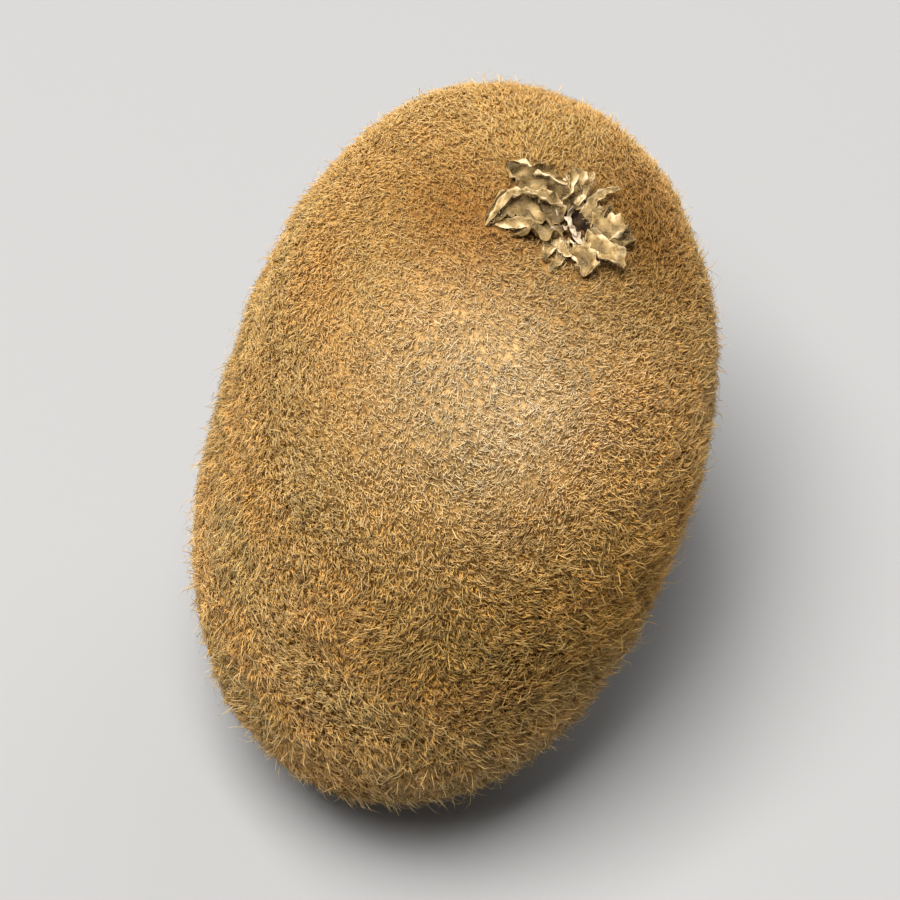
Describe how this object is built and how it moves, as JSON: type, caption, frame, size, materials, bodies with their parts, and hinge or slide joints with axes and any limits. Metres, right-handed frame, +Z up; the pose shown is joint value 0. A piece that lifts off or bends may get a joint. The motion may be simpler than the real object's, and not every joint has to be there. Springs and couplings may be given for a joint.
{
  "type": "kiwi fruit",
  "caption": "Brown furry kiwi fruit, as picked, standing a little askew on a small flat spot, with dry papery sepals round its stem scar.",
  "frame": {"origin": "middle of the small flat spot that the fruit rests on", "axes": "+Z up from the surface it rests on, -Y towards the side the picture was taken from, +X to the right seen from there; the stem end is up and leans 18 degrees, mostly to +X and a little to +Y"},
  "size_m": [0.0467, 0.0541, 0.0694],
  "materials": {
    "fuzzy_skin": "matte",
    "dry_sepal": "matte",
    "dry_style": "matte"
  },
  "bodies": {
    "root": {"fruit": "fuzzy_skin", "sepal_right": "dry_sepal", "sepal_back_right": "dry_sepal", "sepal_back_left": "dry_sepal", "sepal_left": "dry_sepal", "sepal_front_left": "dry_sepal", "sepal_front": "dry_sepal", "style_tuft": "dry_style"}
  },
  "joints": []
}
